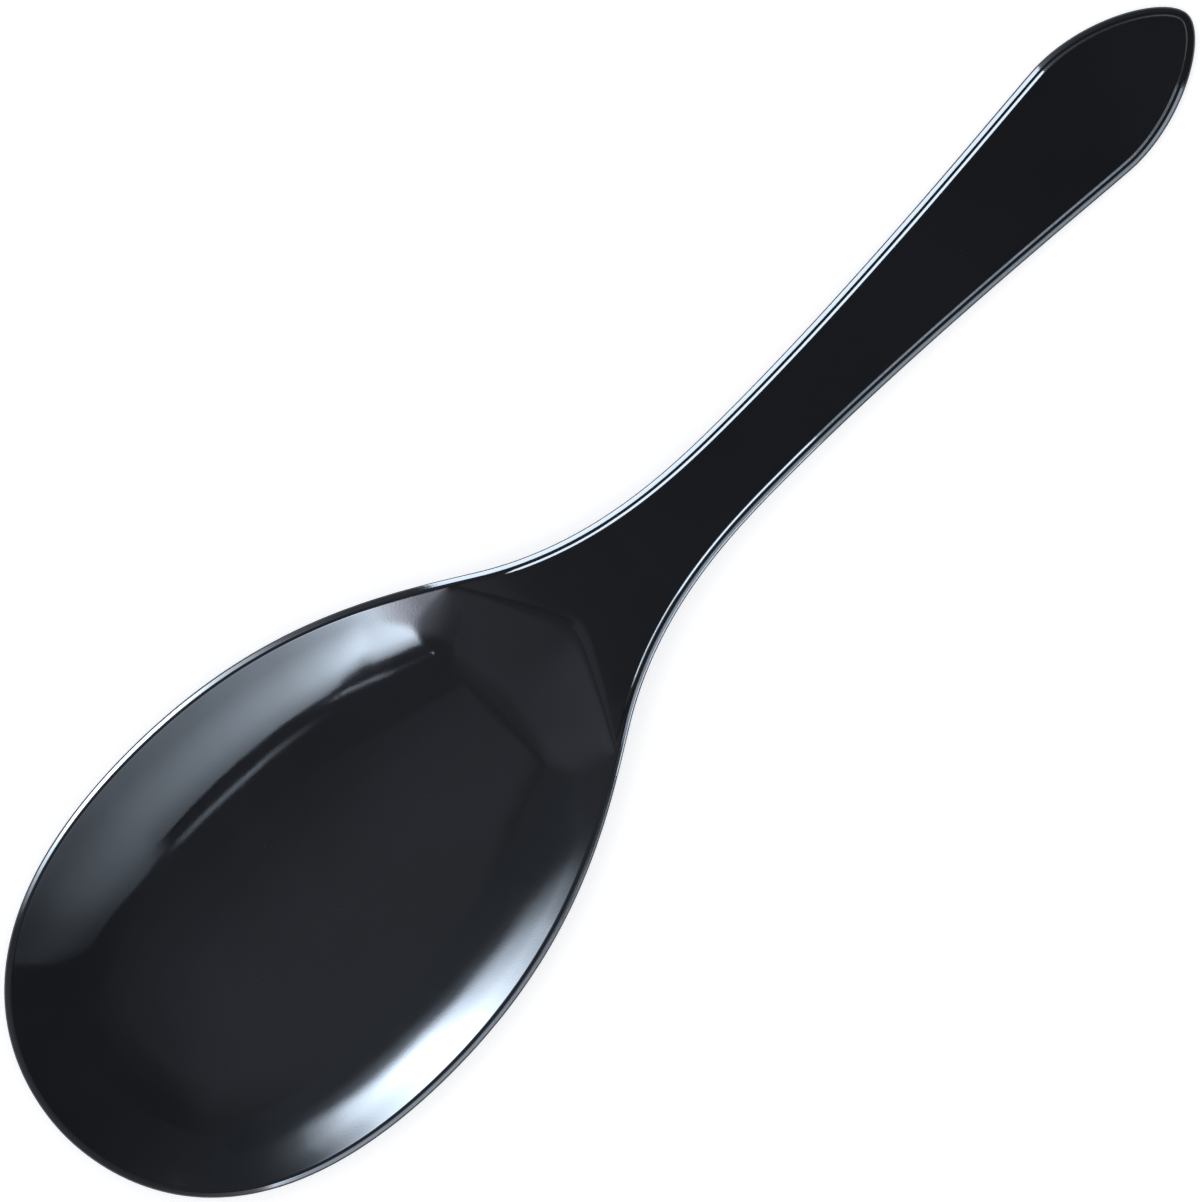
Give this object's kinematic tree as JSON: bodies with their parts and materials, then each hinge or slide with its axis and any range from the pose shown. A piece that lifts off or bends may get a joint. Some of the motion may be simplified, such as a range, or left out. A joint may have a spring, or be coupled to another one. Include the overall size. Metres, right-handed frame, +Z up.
{
  "type": "silicone spoon",
  "caption": "Glossy black serving spoon with a broad shallow bowl, a slim neck and a widening handle with a stepped edge, moulded in silicone over a steel core.",
  "frame": {"origin": "centre of the bounding box at its bottom, on the table that the spoon lies on", "axes": "+X along the spoon from the bowl's tip towards the handle's end, +Y across it, +Z up out of the bowl"},
  "size_m": [0.23, 0.0662, 0.0161],
  "materials": {
    "black_silicone": "high-gloss black silicone",
    "core_steel": "plain rolled stainless sheet"
  },
  "bodies": {
    "root": {"upper_skin": "black_silicone", "steel_core": "core_steel", "lower_skin": "black_silicone"}
  },
  "joints": []
}
